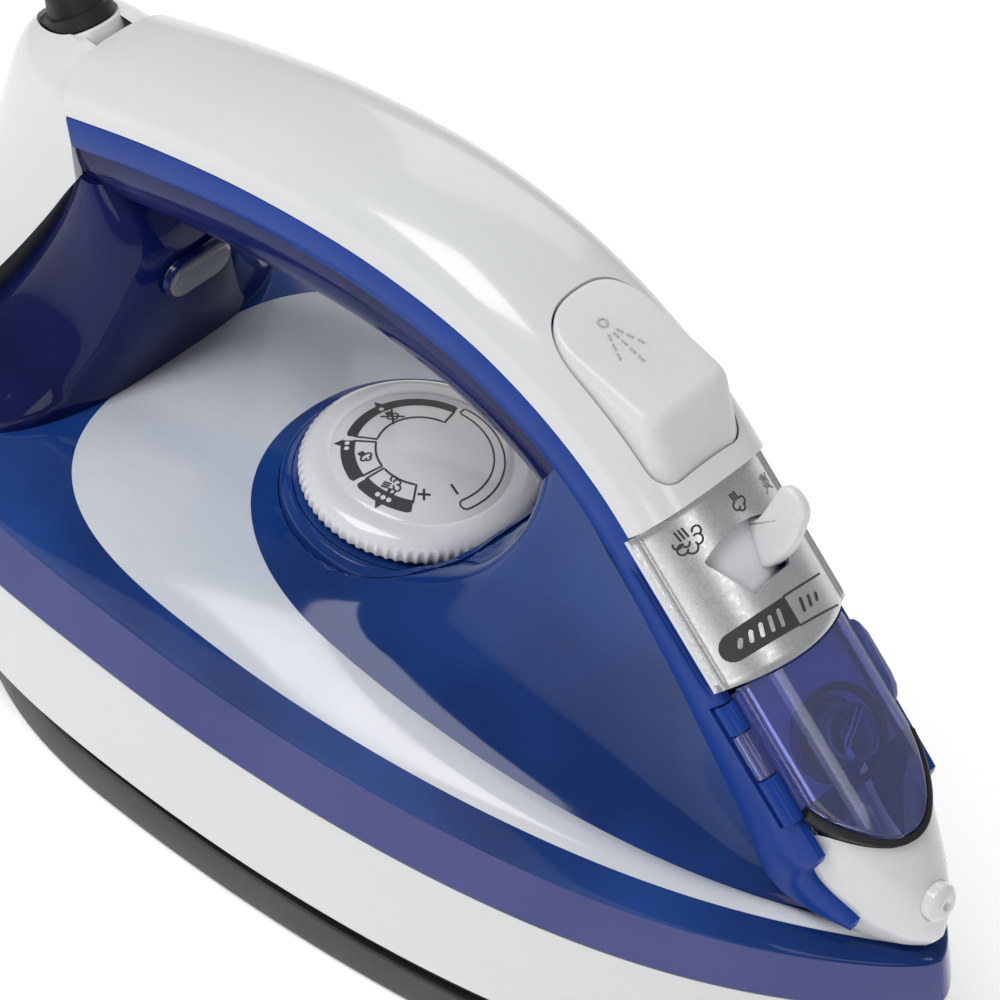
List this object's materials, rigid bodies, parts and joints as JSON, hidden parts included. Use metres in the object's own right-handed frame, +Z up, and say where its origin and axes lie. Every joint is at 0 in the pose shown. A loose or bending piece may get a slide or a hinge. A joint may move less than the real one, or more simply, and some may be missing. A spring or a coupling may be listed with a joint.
{
  "type": "steam iron",
  "caption": "Steam iron with see-through tank, heat dial, spray button, steam lever and hinged filling lid on a pointed sole.",
  "frame": {"origin": "The middle of the whole object's box, on the plane of the sole's flat face.", "axes": "+X points to the tip, +Y to the user's left, +Z up from the sole to the handle."},
  "size_m": [0.266, 0.1196, 0.155],
  "materials": {
    "sole_coated": "satin",
    "steel": "brushed",
    "red_rubber": "matte",
    "black_plastic": "matte",
    "white_plastic": "gloss",
    "ceramic": "matte",
    "blue_clear": "gloss",
    "clear": "gloss",
    "blue_plastic": "gloss",
    "black_rubber": "matte",
    "silver_plastic": "metallic satin",
    "lamp": "gloss",
    "wire": "satin",
    "milky_plastic": "satin",
    "lid_clear": "gloss"
  },
  "bodies": {
    "housing": {"soleplate": "sole_coated", "heating_element": "steel", "chamber_gasket": "red_rubber", "chamber_cover": "steel", "chamber_screws": "steel", "heat_shield": "black_plastic", "skirt": "white_plastic", "thermostat": "steel", "thermal_fuse": "ceramic", "tank_floor": "blue_clear", "tank_shell": "blue_clear", "tank_window": "clear", "tank_top": "blue_clear", "rear_stem": "blue_clear", "handle_grip": "blue_clear", "handle_frame": "blue_plastic", "handle_cover": "white_plastic", "rear_cover": "white_plastic", "rear_cover_screws": "steel", "heel_pads": "black_rubber", "nose_cover": "white_plastic", "spray_nozzle": "white_plastic", "control_panel": "silver_plastic", "lever_bracket": "white_plastic", "lid_rim_seal": "black_rubber", "lid_hinge_bracket": "blue_plastic", "lid_hinge_pin": "steel", "fill_funnel": "blue_clear", "pump_cylinder": "white_plastic", "pump_dip_tube": "clear", "spray_tube": "clear", "pump_spring": "steel", "valve_seat": "black_rubber", "indicator_lens": "clear", "indicator_lamp": "lamp", "terminal_block": "white_plastic", "power_wires": "wire", "swivel_socket": "black_plastic", "dial_surround": "blue_clear"},
    "dial_knob": {"dial": "white_plastic", "dial_shaft": "white_plastic"},
    "spray_key": {"spray_button": "milky_plastic", "pump_piston": "white_plastic"},
    "steam_selector": {"steam_lever": "milky_plastic"},
    "steam_valve": {"valve_rod": "steel"},
    "filler_lid": {"fill_lid": "lid_clear", "lid_seal": "black_rubber"},
    "cord_gland": {"cord_swivel": "black_plastic"}
  },
  "joints": [
    {"name": "dial_turn", "type": "hinge", "parent": "housing", "child": "dial_knob", "pos_m": [-0.0155, 0, 0.08], "axis": [0, 0, 1], "range_deg": [0, 300]},
    {"name": "spray_press", "type": "slide", "parent": "housing", "child": "spray_key", "axis": [0, 0, -1], "range_m": [0, 0.006], "stiffness_N_per_m": 400, "springref_m": -0.003, "deforming": ["pump_spring"]},
    {"name": "lever_swing", "type": "hinge", "parent": "housing", "child": "steam_selector", "pos_m": [0.07511, 0, 0.10695], "axis": [0.9938, 0, 0.1115], "range_deg": [0, 50]},
    {"name": "valve_turn", "type": "hinge", "parent": "housing", "child": "steam_valve", "pos_m": [0.066, 0, 0.06], "axis": [0, 0, -1], "range_deg": [0, 47]},
    {"name": "lid_open", "type": "hinge", "parent": "housing", "child": "filler_lid", "pos_m": [0.0857, -0.0172, 0.09056], "axis": [0.7815, 0, -0.6239], "range_deg": [0, 100]},
    {"name": "gland_turn", "type": "hinge", "parent": "housing", "child": "cord_gland", "pos_m": [-0.113, 0, 0.126], "axis": [-0.5736, 0, 0.8192], "range_deg": [-170, 170]}
  ],
  "couplings": [
    {"joint": "valve_turn", "follows": "lever_swing", "ratio": 0.94}
  ]
}
